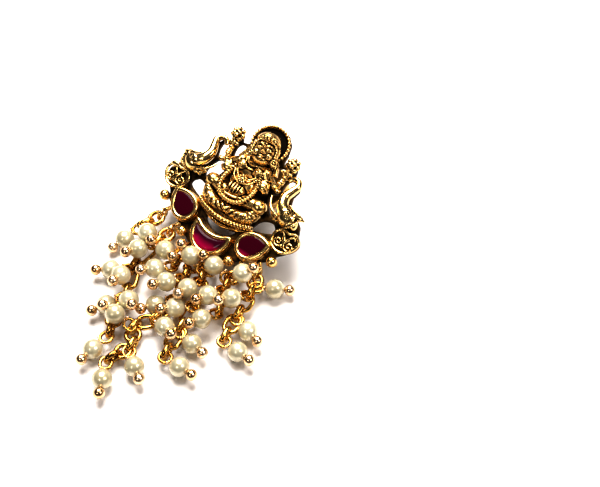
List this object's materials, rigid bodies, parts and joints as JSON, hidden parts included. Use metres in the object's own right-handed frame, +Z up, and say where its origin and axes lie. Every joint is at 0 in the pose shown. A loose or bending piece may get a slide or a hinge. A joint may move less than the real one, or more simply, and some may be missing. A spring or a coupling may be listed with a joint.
{
  "type": "chandbali earring",
  "caption": "Chandbali earring lying on a table: cast antique-gold top with a seated figure and elephants, ruby stones in bezels, an ear post with nut, and a fringe of pearl drops on chains.",
  "frame": {"origin": "middle of the bounding box on the table that the earring lies on", "axes": "+Y from the fringe towards the top's crown, +X to the right with the top seen from the front and its crown up, +Z up from the table"},
  "size_m": [0.0368, 0.0582, 0.0159],
  "materials": {
    "antique_gold": "cast antique gold with dark oxidised recesses",
    "rose_gold": "polished",
    "ruby": "polished dark red stone",
    "pearl_cream": "pearl lustre"
  },
  "bodies": {
    "root": {"cast_body": "antique_gold", "ruby_pear_left": "ruby", "ruby_pear_right": "ruby", "ruby_crescent": "ruby", "ear_post": "antique_gold", "strand_1": "rose_gold", "strand_2": "rose_gold", "strand_3": "rose_gold", "strand_4": "rose_gold", "strand_5": "rose_gold", "strand_6": "rose_gold", "strand_7": "rose_gold", "pearl_01": "pearl_cream", "pearl_02": "pearl_cream", "pearl_03": "pearl_cream", "pearl_04": "pearl_cream", "pearl_05": "pearl_cream", "pearl_06": "pearl_cream", "pearl_07": "pearl_cream", "pearl_08": "pearl_cream", "pearl_09": "pearl_cream", "pearl_10": "pearl_cream", "pearl_11": "pearl_cream", "pearl_12": "pearl_cream", "pearl_13": "pearl_cream", "pearl_14": "pearl_cream", "pearl_15": "pearl_cream", "pearl_16": "pearl_cream", "pearl_17": "pearl_cream", "pearl_18": "pearl_cream", "pearl_19": "pearl_cream", "pearl_20": "pearl_cream", "pearl_21": "pearl_cream", "pearl_22": "pearl_cream", "pearl_23": "pearl_cream", "pearl_24": "pearl_cream", "pearl_25": "pearl_cream", "pearl_26": "pearl_cream", "pearl_27": "pearl_cream", "pearl_28": "pearl_cream", "pearl_29": "pearl_cream"}
  },
  "joints": []
}
